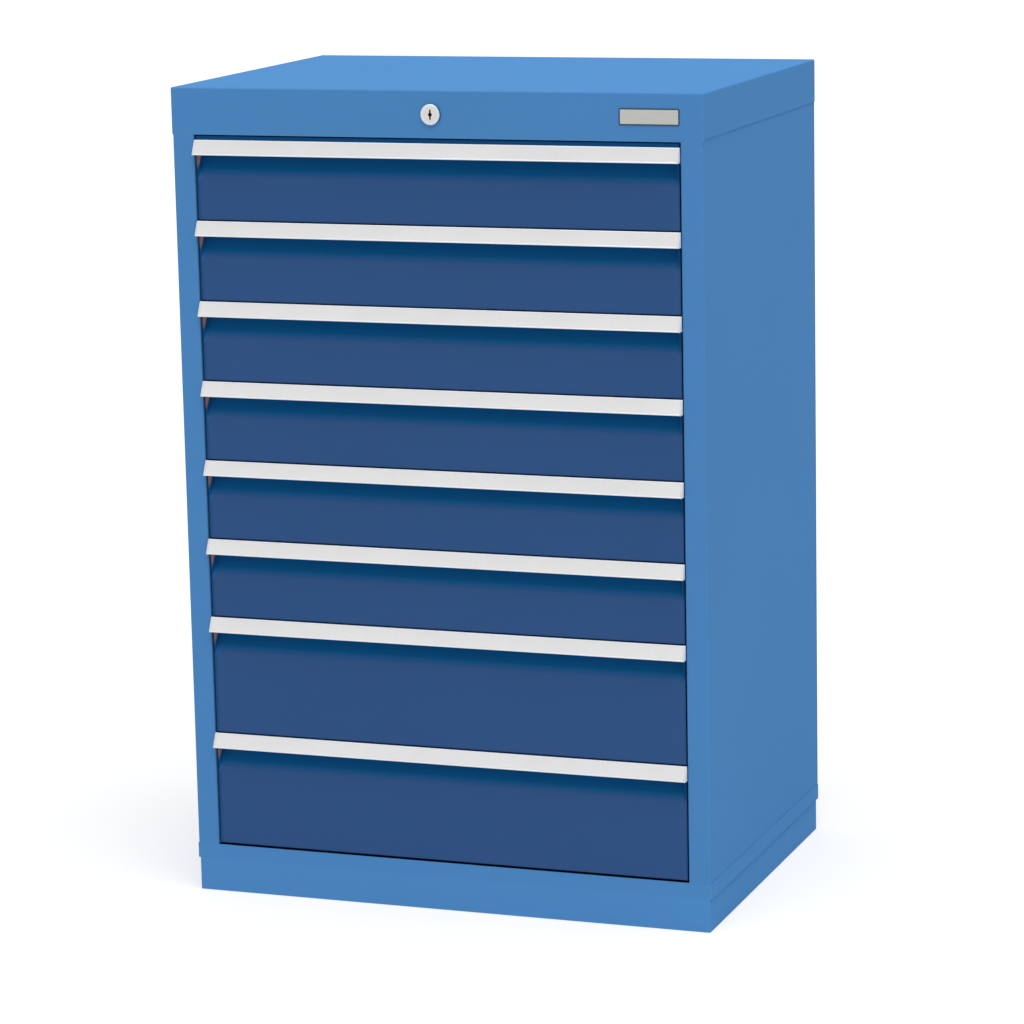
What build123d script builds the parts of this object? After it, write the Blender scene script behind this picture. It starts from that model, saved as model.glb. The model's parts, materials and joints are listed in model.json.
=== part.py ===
"""Steel drawer cabinet with eight drawers on telescopic runners and a central lock. All sizes are in mm.

The origin is on the floor, in the middle of the overall depth and width. The front faces -Y and +Z is up.
Drawer 1 is the highest one.
"""

from build123d import *
from math import atan2, cos, degrees, hypot, radians, sin
import os

os.makedirs("parts", exist_ok=True)

# Carcass
cabinet_width = 705.0
cabinet_depth = 500.0
sheet = 1.25
bend = 2.0
corner_relief = 4.0
post_width = 30.0
post_return = 36.0
top_rail_height = 59.5
skirt_step = 3.6
rail_return = 30.0
rim_height = 19.5

# Plinth
plinth_height = 43.0
plinth_wall = 2.0
plinth_inset = 2.5
plinth_flange = 25.0

# Drawer modules, from the top one down
low_module = 103.1
high_module = 154.65
modules = [low_module] * 6 + [high_module] * 2
module_drop = 2.3
front_gap = 1.2
bottom_clearance = 2.5
top_clearance = 1.6
first_front_rise = 5.0

# Drawer fronts with their finger pocket
front_side_gap = 2.0
front_recess = 1.0
front_thickness = 22.0
front_return = 10.0
pocket_depth = 18.0
pocket_height = 30.0
pocket_rise = 2.0
pocket_bend = 12.0
cheek_width = 2.5
pocket_bend_lead = 0.1

# Grip strips
grip_height = 18.7
grip_proud = 9.0
grip_wall = 1.5
grip_lip_width = 2.0
grip_lip_height = 1.2
grip_leg_height = 14.0
grip_edge_radius = 0.6
grip_side_gap = 0.8
end_cap_thickness = 2.0
label_margin = 1.0
label_depth = 0.6

# Drawer trays
tray_wall = 1.25
tray_rear_gap = 52.0
tray_floor_gap = 6.0
tray_headroom = 28.1
tray_rim = 10.0
front_wall_margin = 0.5

# Telescopic runners
runner_space = 20.0
channel_depth = 9.0
channel_height = 42.0
channel_wall = 1.8
channel_lip = 4.0
beam_head = 3.5
beam_wall = 2.0
beam_play = 0.6
runner_lift = 33.0
cabinet_rail_front = 24.0
cabinet_rail_rear = 26.0
drawer_rail_inset = 3.0
beam_front = 26.0

# Lock
lock_below_top = 30.0
lock_face_radius = 13.0
lock_face_proud = 3.0
lock_face_chamfer = 1.0
lock_body_radius = 9.5
lock_body_length = 20.0
lock_hole_play = 0.2
lock_nut_radius = 15.0
lock_nut_thickness = 4.0
plug_radius = 7.0
plug_play = 0.05
plug_tail_size = 6.0
keyhole_radius = 2.5
keyway_width = 2.2
keyway_length = 12.5
keyway_depth = 12.0
cam_thickness = 2.5
cam_gap = 0.5
cam_radius = 8.0
cam_hub_radius = 7.0
cam_pin_radius = 2.5
cam_pin_play = 0.6
quarter_turn = 90.0

# Transfer bar and locking bar
bar_thickness = 3.0
bar_play = 0.3
transfer_height = 12.0
transfer_head_margin = 5.0
transfer_head_top = 17.0
guide_tab_height = 12.0
guide_tab_width = 12.0
first_guide_tab_x = 80.0
last_guide_tab_inset = 80.0
follower_radius = 3.0
follower_play = 0.4
follower_height = 13.5
wall_play = 1.0
locking_bar_margin = 5.75
locking_bar_gap = 2.0
locking_bar_foot = 8.0
locking_bar_head = 6.0
locking_lift = 9.0
lug_thickness = 4.0
lug_gap = 2.0
lug_reach = 4.0
catch_gap = 2.0
catch_thickness = 3.0
catch_reach = 11.0
catch_height = 16.0
catch_clearance = 2.5
guide_height = 14.0
guide_level = 20.0
guide_wall = 3.3

# Planes and levels that follow from these sizes
overall_depth = cabinet_depth + grip_proud
front_y = grip_proud - overall_depth / 2
back_y = front_y + cabinet_depth
middle_y = (front_y + back_y) / 2
half_width = cabinet_width / 2
side_x = half_width - sheet
wall_x = side_x - sheet
opening_x = half_width - post_width
opening_bottom = plinth_height + rim_height
modules_bottom = opening_bottom - module_drop
highest_front_z = modules_bottom + sum(modules) - front_gap + first_front_rise
opening_top = highest_front_z + top_clearance
top_z = opening_top + top_rail_height
skirt_z = opening_top + skirt_step
module_bottoms = [modules_bottom + sum(modules[row + 1:]) for row in range(len(modules))]
lowest_front_z = opening_bottom + bottom_clearance

# Places inside the carcass
tray_x = opening_x - runner_space
tray_front_y = front_y + front_thickness
tray_depth = cabinet_depth - front_thickness - tray_rear_gap
tray_middle_y = tray_front_y + tray_depth / 2
locking_bar_y = front_y + post_return + locking_bar_gap
locking_bar_width = wall_x - opening_x - 2 * locking_bar_margin
lug_level = runner_lift + channel_height / 2 + lug_gap


def save(builder, label):
    """Gives the finished piece its name and writes it."""
    builder.part.label = label
    export_step(builder.part, f"parts/{label}.step")
    print(f"{label}: {builder.part.volume / 1000:.1f} cm3")


def folded(points, thickness, side):
    """Outline of a sheet folded along the points, which lie on its outer face."""
    with BuildLine() as outline:
        FilletPolyline(*points, radius=bend)
        offset(amount=thickness, side=side)
    return outline.edges()


def locking_bar_guide(side):
    """Adds the fork that the locking bar slides in to the sketch: an open slot with a wall round it."""
    slot_width = bar_thickness + 2 * bar_play
    slot_x = wall_x - locking_bar_margin + bar_play
    inner_x = wall_x - locking_bar_margin - locking_bar_width / 2
    guide_y = locking_bar_y + bar_thickness / 2
    with Locations((side * (wall_x + inner_x) / 2, guide_y)):
        Rectangle(wall_x - inner_x, slot_width + 2 * guide_wall)
    with Locations((side * (slot_x + inner_x) / 2, guide_y)):
        Rectangle(slot_x - inner_x, slot_width, mode=Mode.SUBTRACT)


def side_panel(side, has_guides):
    """Folded side: front post, side wall and rear flange, each flange with a return that carries the runners."""
    rear_y = back_y - sheet
    path = [
        (side * opening_x, front_y + post_return),
        (side * opening_x, front_y),
        (side * side_x, front_y),
        (side * side_x, rear_y),
        (side * opening_x, rear_y),
        (side * opening_x, rear_y - post_return),
    ]
    foot_z = plinth_height + sheet
    head_z = top_z - bend
    with BuildPart() as panel:
        with BuildSketch(Plane.XY.offset(foot_z)):
            make_face(folded(path, sheet, Side.LEFT if side > 0 else Side.RIGHT))
        extrude(amount=head_z - foot_z)
        # Only the flat of the side wall reaches down into the rim and up under the cover.
        for low, high in ((foot_z, opening_bottom), (opening_top, head_z)):
            with BuildSketch(Plane.XY.offset(low)):
                with Locations((side * (wall_x - post_width / 2), middle_y)):
                    Rectangle(post_width, cabinet_depth)
                with Locations((side * half_width, front_y), (side * half_width, back_y)):
                    Rectangle(post_width, 2 * corner_relief)
            extrude(amount=high - low, mode=Mode.SUBTRACT)
        if has_guides:
            for bottom in (module_bottoms[0], module_bottoms[-1]):
                with BuildSketch(Plane.XY.offset(bottom + guide_level)):
                    locking_bar_guide(side)
                extrude(amount=guide_height)
    return panel


def channel_section(web_x, mouth_x, level):
    """Adds one lipped channel to the sketch: its web is at web_x and it opens towards mouth_x."""
    facing = 1 if mouth_x > web_x else -1
    inner_height = channel_height - 2 * channel_wall
    mouth_height = inner_height - 2 * channel_lip
    with Locations(((web_x + mouth_x) / 2, level)):
        Rectangle(channel_depth, channel_height)
        Rectangle(channel_depth - 2 * channel_wall, inner_height, mode=Mode.SUBTRACT)
    with Locations((mouth_x - facing * channel_wall / 2, level)):
        Rectangle(channel_wall, mouth_height, mode=Mode.SUBTRACT)


def beam_section(side, level):
    """Adds the intermediate member to the sketch: two heads, each inside a channel, joined by a hollow neck."""
    head_height = channel_height - 2 * channel_wall - 2 * beam_play
    neck_height = channel_height - 2 * channel_wall - 2 * channel_lip - 2 * beam_play
    beam_width = runner_space - 2 * channel_wall - 2 * beam_play
    head_offset = (beam_width - beam_head) / 2
    middle_x = side * (opening_x - runner_space / 2)
    with Locations((middle_x - head_offset, level), (middle_x + head_offset, level)):
        Rectangle(beam_head, head_height)
    with Locations((middle_x, level)):
        Rectangle(beam_width - beam_head, neck_height)
        Rectangle(beam_width - 2 * beam_head, neck_height - 2 * beam_wall, mode=Mode.SUBTRACT)


# Carcass: the two folded sides

side_panel_left = side_panel(-1, has_guides=False)
save(side_panel_left, "side_panel_left")

side_panel_right = side_panel(1, has_guides=True)
save(side_panel_right, "side_panel_right")

# Carcass: back, between the rim of the floor and the rear skirt of the cover

with BuildPart() as back_panel:
    with BuildSketch(Plane.XZ.offset(-back_y)):
        with Locations((0, (opening_bottom + skirt_z) / 2)):
            Rectangle(2 * side_x, skirt_z - opening_bottom)
    extrude(amount=sheet)
save(back_panel, "back_panel")

# Carcass: floor with its rim turned up outside the side walls

with BuildPart() as base_tray:
    with BuildSketch(Plane.XY.offset(plinth_height)):
        with Locations((0, middle_y)):
            Rectangle(cabinet_width, cabinet_depth)
    extrude(amount=rim_height)
    fillet(base_tray.edges().filter_by(Axis.Z), radius=bend)
    offset(amount=-sheet, openings=base_tray.faces().sort_by(Axis.Z)[-1])
save(base_tray, "base_tray")

# Carcass: plinth, a ring of channel with its flanges turned in under the floor and over the ground

with BuildPart() as plinth:
    plinth_width = cabinet_width - 2 * plinth_inset
    plinth_depth = cabinet_depth - plinth_inset
    plinth_middle = (0, front_y + plinth_depth / 2)
    with BuildSketch() as plinth_ring:
        with Locations(plinth_middle):
            Rectangle(plinth_width, plinth_depth)
            fillet(plinth_ring.vertices(), radius=bend)
            Rectangle(plinth_width - 2 * plinth_flange, plinth_depth - 2 * plinth_flange, mode=Mode.SUBTRACT)
    extrude(amount=plinth_height)
    with BuildSketch(Plane.XY.offset(plinth_wall)):
        with Locations(plinth_middle):
            Rectangle(plinth_width - 2 * plinth_wall, plinth_depth - 2 * plinth_wall)
    extrude(amount=plinth_height - 2 * plinth_wall, mode=Mode.SUBTRACT)
save(plinth, "plinth")

# Carcass: cover with its skirts, the front one being the top rail of the front

lock_z = top_z - lock_below_top
cam_y = front_y + lock_body_length + cam_gap
transfer_y = cam_y + cam_thickness + cam_gap
transfer_bottom = opening_top + sheet + bar_play
transfer_travel = 2 * cam_radius * sin(radians(quarter_turn / 2))

with BuildPart() as top_cover:
    with BuildSketch(Plane.XY.offset(opening_top)):
        with Locations((0, middle_y)):
            Rectangle(cabinet_width, cabinet_depth)
    extrude(amount=top_rail_height)
    offset(amount=-sheet, openings=top_cover.faces().sort_by(Axis.Z)[0])
    upright_edges = top_cover.edges().filter_by(Axis.Z).filter_by(lambda edge: abs(edge.center().X) > side_x)
    fillet(upright_edges, radius=bend)
    fillet(top_cover.faces().sort_by(Axis.Z)[-1].edges(), radius=bend)
    # The side and rear skirts end a little higher than the top rail.
    with BuildSketch(Plane.XY.offset(opening_top)):
        with Locations((0, front_y + corner_relief)):
            Rectangle(cabinet_width, cabinet_depth, align=(Align.CENTER, Align.MIN))
    extrude(amount=skirt_step, mode=Mode.SUBTRACT)
    # The top rail is folded back under the lock works.
    with BuildSketch(Plane.XY.offset(opening_top)):
        with Locations((0, front_y)):
            Rectangle(2 * opening_x, rail_return, align=(Align.CENTER, Align.MIN))
    extrude(amount=sheet)
    # Pairs of tabs guide the transfer bar.
    with BuildSketch(Plane.XY.offset(opening_top)):
        for tab_x in (first_guide_tab_x, opening_x - last_guide_tab_inset):
            for tab_y in (transfer_y - bar_play - sheet / 2, transfer_y + bar_thickness + bar_play + sheet / 2):
                with Locations((tab_x, tab_y)):
                    Rectangle(guide_tab_width, sheet)
    extrude(amount=guide_tab_height)
    with BuildSketch(Plane.XZ.offset(-front_y)):
        with Locations((0, lock_z)):
            Circle(lock_body_radius + lock_hole_play)
    extrude(amount=-sheet, mode=Mode.SUBTRACT)
save(top_cover, "top_cover")

# Fixed members of the runners, a pair for each drawer

with BuildPart() as cabinet_rails:
    with BuildSketch(Plane.XZ.offset(-(front_y + cabinet_rail_front))):
        for bottom in module_bottoms:
            for side in (-1, 1):
                web_x = side * opening_x
                channel_section(web_x, web_x - side * channel_depth, bottom + runner_lift)
    extrude(amount=-(cabinet_depth - cabinet_rail_front - cabinet_rail_rear))
save(cabinet_rails, "cabinet_rails")

# Lock housing: face, body and the nut behind the top rail

with BuildPart() as lock_housing:
    with BuildSketch(Plane.XZ.offset(-(front_y - lock_face_proud))):
        with Locations((0, lock_z)):
            Circle(lock_face_radius)
    extrude(amount=-lock_face_proud)
    chamfer(lock_housing.faces().sort_by(Axis.Y)[0].edges(), length=lock_face_chamfer)
    with BuildSketch(Plane.XZ.offset(-front_y)):
        with Locations((0, lock_z)):
            Circle(lock_body_radius)
    extrude(amount=-lock_body_length)
    with BuildSketch(Plane.XZ.offset(-(front_y + sheet))):
        with Locations((0, lock_z)):
            RegularPolygon(lock_nut_radius, 6)
    extrude(amount=-lock_nut_thickness)
    with BuildSketch(Plane.XZ.offset(-(front_y - lock_face_proud))):
        with Locations((0, lock_z)):
            Circle(plug_radius + plug_play)
    extrude(amount=-(lock_face_proud + lock_body_length), mode=Mode.SUBTRACT)
save(lock_housing, "lock_housing")

# Lock cylinder: plug with keyhole and a square tail for the cam

with BuildPart() as lock_cylinder:
    with BuildSketch(Plane.XZ.offset(-(front_y - lock_face_proud))):
        with Locations((0, lock_z)):
            Circle(plug_radius)
    extrude(amount=-(lock_face_proud + lock_body_length + cam_gap))
    with BuildSketch(Plane.XZ.offset(-cam_y)):
        with Locations((0, lock_z)):
            Rectangle(plug_tail_size, plug_tail_size)
    extrude(amount=-cam_thickness)
    with BuildSketch(Plane.XZ.offset(-(front_y - lock_face_proud))):
        with Locations((0, lock_z)):
            Circle(keyhole_radius)
            Rectangle(keyway_width, keyway_length)
    extrude(amount=-keyway_depth, mode=Mode.SUBTRACT)
save(lock_cylinder, "lock_cylinder")

# Lock cam: an arm with a driving pin, drawn unlocked, half of its turn to the left of upright

pin_x = -cam_radius * sin(radians(quarter_turn / 2))
pin_z = lock_z + cam_radius * cos(radians(quarter_turn / 2))

with BuildPart() as lock_cam:
    with BuildSketch(Plane.XZ.offset(-cam_y)):
        with BuildSketch(mode=Mode.PRIVATE) as cam_ends:
            with Locations((0, lock_z)):
                Circle(cam_hub_radius)
            with Locations((pin_x, pin_z)):
                Circle(cam_pin_radius + cam_gap)
        make_hull(cam_ends.sketch.edges())
        with Locations((0, lock_z)):
            Rectangle(plug_tail_size, plug_tail_size, mode=Mode.SUBTRACT)
    extrude(amount=-cam_thickness)
    with BuildSketch(Plane.XZ.offset(-(cam_y + cam_thickness))):
        with Locations((pin_x, pin_z)):
            Circle(cam_pin_radius)
    extrude(amount=-(bar_thickness + 2 * cam_gap))
save(lock_cam, "lock_cam")

# Transfer bar: an upright slot for the cam's pin at one end, a slanted one for the locking bar at the other

follower_x = wall_x - wall_play - transfer_travel - transfer_head_margin - follower_radius
follower_z = transfer_bottom + follower_height + follower_radius
slot_end_x = follower_x - transfer_travel
slot_end_z = follower_z + locking_lift

with BuildPart() as transfer_bar:
    with BuildSketch(Plane.XZ.offset(-transfer_y)):
        right_x = follower_x + follower_radius + transfer_head_margin
        left_x = pin_x - cam_pin_radius - transfer_head_margin
        left_head_x = pin_x + cam_pin_radius + transfer_head_margin
        right_head_x = slot_end_x - follower_radius - transfer_head_margin
        left_head_z = lock_z + transfer_head_top
        right_head_z = slot_end_z + follower_radius + transfer_head_margin
        strip_z = transfer_bottom + transfer_height
        with BuildLine():
            Polyline(
                (left_x, transfer_bottom),
                (right_x, transfer_bottom),
                (right_x, right_head_z),
                (right_head_x, right_head_z),
                (right_head_x, strip_z),
                (left_head_x, strip_z),
                (left_head_x, left_head_z),
                (left_x, left_head_z),
                close=True,
            )
        make_face()
        slot_low = pin_z - cam_pin_radius - cam_pin_play
        slot_high = lock_z + cam_radius + cam_pin_radius + cam_pin_play
        with Locations((pin_x, (slot_low + slot_high) / 2)):
            Rectangle(2 * (cam_pin_radius + cam_pin_play), slot_high - slot_low, mode=Mode.SUBTRACT)
        with Locations(((follower_x + slot_end_x) / 2, (follower_z + slot_end_z) / 2)):
            SlotCenterToCenter(
                hypot(transfer_travel, locking_lift),
                2 * (follower_radius + follower_play),
                rotation=degrees(atan2(locking_lift, -transfer_travel)),
                mode=Mode.SUBTRACT,
            )
    extrude(amount=-bar_thickness)
save(transfer_bar, "transfer_bar")

# Locking bar: an upright strip with a lug for each drawer and a wider head with the follower pin

with BuildPart() as locking_bar:
    bar_outer_x = wall_x - locking_bar_margin
    bar_foot_z = opening_bottom + locking_bar_foot
    head_inner_x = follower_x - locking_bar_head
    lug_x = tray_x + lug_reach
    with BuildSketch(Plane.XZ.offset(-locking_bar_y)):
        with Locations((bar_outer_x, bar_foot_z)):
            Rectangle(locking_bar_width, follower_z - bar_foot_z, align=(Align.MAX, Align.MIN))
        with Locations((bar_outer_x, follower_z)):
            Rectangle(bar_outer_x - head_inner_x, 2 * locking_bar_head, align=(Align.MAX, Align.CENTER))
        for bottom in module_bottoms:
            with Locations((bar_outer_x, bottom + lug_level)):
                Rectangle(bar_outer_x - lug_x, lug_thickness, align=(Align.MAX, Align.MIN))
    extrude(amount=-bar_thickness)
    with BuildSketch(Plane.XZ.offset(-(transfer_y - cam_gap))):
        with Locations((follower_x, follower_z)):
            Circle(follower_radius)
    extrude(amount=-(locking_bar_y - transfer_y + cam_gap))
save(locking_bar, "locking_bar")


# Drawers


def drawer_tray(bottom, module, foot_z, head_z):
    """Open tray with its rims turned out over the runners, a front wall behind the front, and the lock's catch."""
    tray_bottom = bottom + tray_floor_gap
    tray_height = module - tray_headroom
    wall_height = head_z - foot_z - 2 * front_wall_margin
    front_x = opening_x - front_side_gap
    catch_y = locking_bar_y + bar_thickness + catch_gap
    catch_bottom = bottom + lug_level + lug_thickness + catch_clearance
    with BuildPart() as tray:
        with BuildSketch(Plane.XY.offset(tray_bottom)):
            with Locations((0, tray_middle_y)):
                Rectangle(2 * tray_x, tray_depth)
        extrude(amount=tray_height)
        # Only the rear corners are folded round: in front the sides end on the front wall.
        fillet(tray.edges().filter_by(Axis.Z).group_by(Axis.Y)[-1], radius=bend)
        offset(amount=-tray_wall, openings=tray.faces().sort_by(Axis.Z)[-1])
        with BuildSketch(Plane.XY.offset(tray_bottom + tray_height - tray_wall)):
            for side in (-1, 1):
                with Locations((side * (tray_x + (tray_rim - tray_wall) / 2), tray_middle_y)):
                    Rectangle(tray_rim + tray_wall, tray_depth - 2 * bend)
        extrude(amount=tray_wall)
        with BuildSketch(Plane.XZ.offset(-tray_front_y)):
            with Locations((0, (foot_z + head_z) / 2)):
                Rectangle(2 * (front_x - front_wall_margin), wall_height)
        extrude(amount=-tray_wall)
        with BuildSketch(Plane.XZ.offset(-catch_y)):
            with Locations((tray_x - tray_wall, catch_bottom)):
                Rectangle(catch_reach + tray_wall, catch_height, align=(Align.MIN, Align.MIN))
        extrude(amount=-catch_thickness)
    return tray


def drawer_front(foot_z, head_z, strip_bottom):
    """Folded box front with returns on the tray's wall and, under the grip, a finger pocket let in between cheeks."""
    middle_z = (foot_z + head_z) / 2
    face_y = front_y + front_recess
    pocket_y = face_y + pocket_depth
    front_x = opening_x - front_side_gap
    ceiling_z = strip_bottom + pocket_rise
    sill_z = ceiling_z - pocket_height
    with BuildPart() as front:
        with BuildSketch(Plane.XZ.offset(-face_y)):
            with Locations((0, middle_z)):
                Rectangle(2 * front_x, head_z - foot_z)
        extrude(amount=-(front_thickness - front_recess))
        offset(amount=-sheet, openings=front.faces().sort_by(Axis.Y)[-1])
        # The folds at the sides and at the foot are rounded, the one at the head lies behind the grip.
        fillet(front.faces().sort_by(Axis.Y)[0].edges().sort_by(Axis.Z)[:-1], radius=bend)
        with BuildSketch(Plane.XZ.offset(-tray_front_y)):
            with Locations((0, middle_z)):
                Rectangle(2 * front_x, head_z - foot_z)
                Rectangle(2 * (front_x - front_return), head_z - foot_z - 2 * front_return, mode=Mode.SUBTRACT)
        extrude(amount=sheet)
        # The pocket's folded sheet closes against both sides of the box.
        with BuildSketch(Plane.YZ.offset(-(front_x - sheet))):
            with BuildLine():
                Polyline((face_y, sill_z), (pocket_y, ceiling_z), (face_y, ceiling_z), close=True)
            make_face()
            offset(amount=sheet, kind=Kind.INTERSECTION)
            with Locations((face_y, middle_z)):
                Rectangle(2 * front_thickness, head_z - foot_z, align=(Align.MIN, Align.CENTER), mode=Mode.INTERSECT)
        extrude(amount=2 * (front_x - sheet))
        # The pocket itself is open to the front. Its sill is a soft bend that starts just before the face.
        air_y = face_y - sheet
        with BuildSketch(Plane.YZ.offset(-(front_x - cheek_width))):
            with BuildLine():
                sill = FilletPolyline(
                    (face_y - pocket_bend_lead, sill_z - pocket_bend),
                    (face_y - pocket_bend_lead, sill_z),
                    (pocket_y, ceiling_z),
                    radius=pocket_bend,
                )
                Polyline(sill @ 1, (air_y, ceiling_z), (air_y, sill_z - pocket_bend), sill @ 0)
            make_face()
        extrude(amount=2 * (front_x - cheek_width), mode=Mode.SUBTRACT)
    return front


def grip_outline(strip_bottom):
    """Front corners of the grip, from the top down: its top edge on the leg, the lip's upper and lower corners."""
    leg_y = front_y + front_recess - grip_wall
    lip_y = front_y - grip_proud
    return [(leg_y, strip_bottom + grip_height), (lip_y, strip_bottom + grip_lip_height), (lip_y, strip_bottom)]


def grip_points(strip_bottom):
    """Corners of the grip's section: a leg on the drawer front and a slanted face with its label channel."""
    top_corner, lip_corner, lip_foot = [Vector(*point) for point in grip_outline(strip_bottom)]
    rear_y = front_y + front_recess
    slant = (lip_corner - top_corner).length
    down = (lip_corner - top_corner) / slant
    inward = Vector(-down.Y, down.X)
    inner_lip = lip_corner + Vector(grip_lip_width, 0)
    rise = (top_corner.X - inner_lip.X) / down.X
    leg_foot = top_corner.Y - grip_leg_height
    return [
        (rear_y, top_corner.Y),
        top_corner,
        top_corner + down * label_margin,
        top_corner + down * label_margin + inward * label_depth,
        top_corner + down * (slant - label_margin) + inward * label_depth,
        top_corner + down * (slant - label_margin),
        lip_corner,
        lip_foot,
        lip_foot + Vector(grip_lip_width, 0),
        inner_lip,
        inner_lip + down * rise,
        (top_corner.X, leg_foot),
        (rear_y, leg_foot),
    ]


def drawer_grip(strip_bottom):
    """Extruded grip strip between its two end caps, with its outer edges eased for the fingers."""
    grip_x = opening_x - grip_side_gap - end_cap_thickness
    with BuildPart() as grip:
        with BuildSketch(Plane.YZ.offset(-grip_x)) as section:
            with BuildLine():
                Polyline(*grip_points(strip_bottom), close=True)
            make_face()
            lip_corners = section.vertices().group_by(Axis.X)[0]
            fillet(lip_corners, radius=grip_edge_radius)
        extrude(amount=2 * grip_x)
    return grip


def drawer_grip_ends(strip_bottom):
    """Pair of end caps that close the hollow of the grip strip."""
    outer_x = opening_x - grip_side_gap
    rear_y = front_y + front_recess
    with BuildPart() as ends:
        for start_x in (-outer_x, outer_x - end_cap_thickness):
            with BuildSketch(Plane.YZ.offset(start_x)):
                with BuildLine():
                    Polyline(
                        (rear_y, strip_bottom + grip_height),
                        *grip_outline(strip_bottom),
                        (rear_y, strip_bottom),
                        close=True,
                    )
                make_face()
            extrude(amount=end_cap_thickness)
    return ends


def drawer_rails(bottom):
    """Pair of runner channels on the tray's sides."""
    with BuildPart() as rails:
        with BuildSketch(Plane.XZ.offset(-(tray_front_y + drawer_rail_inset))):
            for side in (-1, 1):
                web_x = side * tray_x
                channel_section(web_x, web_x + side * channel_depth, bottom + runner_lift)
        extrude(amount=-(tray_depth - 2 * drawer_rail_inset))
    return rails


def drawer_slides(bottom):
    """Pair of intermediate runner members between the drawer's channels and the cabinet's."""
    with BuildPart() as slides:
        with BuildSketch(Plane.XZ.offset(-(front_y + beam_front))):
            for side in (-1, 1):
                beam_section(side, bottom + runner_lift)
        extrude(amount=-tray_depth)
    return slides


for row, module in enumerate(modules):
    name = f"drawer_{row + 1}"
    bottom = module_bottoms[row]
    strip_top = bottom + module - front_gap
    strip_bottom = strip_top - grip_height
    # The first front reaches up behind its grip to close the opening, and the last one stays clear of the rim.
    foot_z = max(bottom, lowest_front_z)
    head_z = highest_front_z if row == 0 else strip_top
    save(drawer_tray(bottom, module, foot_z, head_z), f"{name}_tray")
    save(drawer_front(foot_z, head_z, strip_bottom), f"{name}_front")
    save(drawer_grip(strip_bottom), f"{name}_grip")
    save(drawer_grip_ends(strip_bottom), f"{name}_grip_ends")
    save(drawer_rails(bottom), f"{name}_rails")
    save(drawer_slides(bottom), f"{name}_slides")
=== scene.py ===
# %% [markdown]
# # A steel drawer cabinet, dressed for its picture
# The cabinet's solids stand in a fixed frame: folded sheet, drawers, runners and lock works. This lesson
# gives them their finishes, adds the small pieces that a solid model leaves out, and sets up a plain studio
# round them. All lengths are in metres, +Z is up, and the drawers face -Y.

# %% Load the frame
import json
from math import atan2, radians

import bmesh
import bpy
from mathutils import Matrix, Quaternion, Vector


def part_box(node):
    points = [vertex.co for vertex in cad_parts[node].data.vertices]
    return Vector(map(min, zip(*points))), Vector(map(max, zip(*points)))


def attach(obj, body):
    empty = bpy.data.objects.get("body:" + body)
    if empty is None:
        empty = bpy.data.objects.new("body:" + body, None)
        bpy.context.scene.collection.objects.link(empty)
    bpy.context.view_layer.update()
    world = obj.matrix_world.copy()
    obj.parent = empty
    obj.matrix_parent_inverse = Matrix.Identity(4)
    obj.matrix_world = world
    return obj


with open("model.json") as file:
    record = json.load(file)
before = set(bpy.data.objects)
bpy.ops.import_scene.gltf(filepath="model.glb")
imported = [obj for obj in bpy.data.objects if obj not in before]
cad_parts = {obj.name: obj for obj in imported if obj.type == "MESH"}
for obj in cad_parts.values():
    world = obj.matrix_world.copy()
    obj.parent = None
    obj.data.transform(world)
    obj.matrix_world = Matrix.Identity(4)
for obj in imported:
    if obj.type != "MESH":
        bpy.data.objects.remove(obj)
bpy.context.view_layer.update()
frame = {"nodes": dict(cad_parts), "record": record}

bpy.ops.object.select_all(action="DESELECT")
nodes = frame["nodes"]
drawer_names = [f"drawer_{number}" for number in range(1, 9)]

# %% [markdown]
# ## The camera
# A product picture of a cabinet is taken from far away with a long lens, so that its upright edges stay
# nearly parallel. The camera stands to the right of the middle at about eye height and looks slightly down.
# Its direction is a vector, turned into a rotation by to_track_quat, which is easier to adjust than three
# angles. A small roll about the line of sight comes last.

# %% Place the camera
camera_place = Vector((1.7418, -4.7430, 1.4749))
camera_aim = Vector((-0.33708, 0.92123, -0.19419))
camera_roll = radians(-1.177)
camera_lens = 137.08
camera_sensor = 36.0
camera_reach = 200.0

bpy.ops.object.camera_add(location=camera_place)
camera = bpy.context.object
camera.rotation_mode = "QUATERNION"
camera.rotation_quaternion = camera_aim.to_track_quat("-Z", "Y") @ Quaternion((0, 0, 1), camera_roll)
camera.data.lens = camera_lens
camera.data.sensor_width = camera_sensor
camera.data.clip_end = camera_reach
bpy.context.scene.camera = camera
bpy.context.scene.view_settings.view_transform = "Standard"
print("camera", round(camera_place.length, 2), "from the origin, lens", camera_lens)

# %% [markdown]
# ## Nodes by small helpers
# A material is a tree of nodes, and typing every node and link out takes many lines. One helper fills an
# input: given a socket it makes a link, given anything else it sets the value itself. Another adds a node,
# sets its options and fills its inputs so. The rest are for the commonest nodes of all: sums and products,
# ranges, mixed colours and the parts of a vector.

# %% Helpers that add nodes
def fill(tree, socket, value):
    """Links the socket to the value where that is a socket too, and otherwise sets the value on it."""
    if isinstance(value, bpy.types.NodeSocket):
        tree.links.new(value, socket)
    else:
        socket.default_value = value


def add_node(tree, kind, inputs=None, **options):
    new = tree.nodes.new(kind)
    for option, value in options.items():
        setattr(new, option, value)
    for key, value in (inputs or {}).items():
        fill(tree, new.inputs[key], value)
    return new


def set_shader(tree, shader, **inputs):
    """Fills the shader's inputs; an underscore stands for the space in an input's name."""
    for name, value in inputs.items():
        fill(tree, shader.inputs[name.replace("_", " ")], value)


print("helpers", fill.__name__, add_node.__name__, set_shader.__name__)


# %% Helpers for sums, ranges and colours
def add_math(tree, operation, first, *others):
    """Adds a Math node, or a chain of them for more than two inputs; one input alone is paired with 0."""
    for other in others or (0.0,):
        first = add_node(tree, "ShaderNodeMath", {0: first, 1: other}, operation=operation).outputs[0]
    return first


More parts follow.
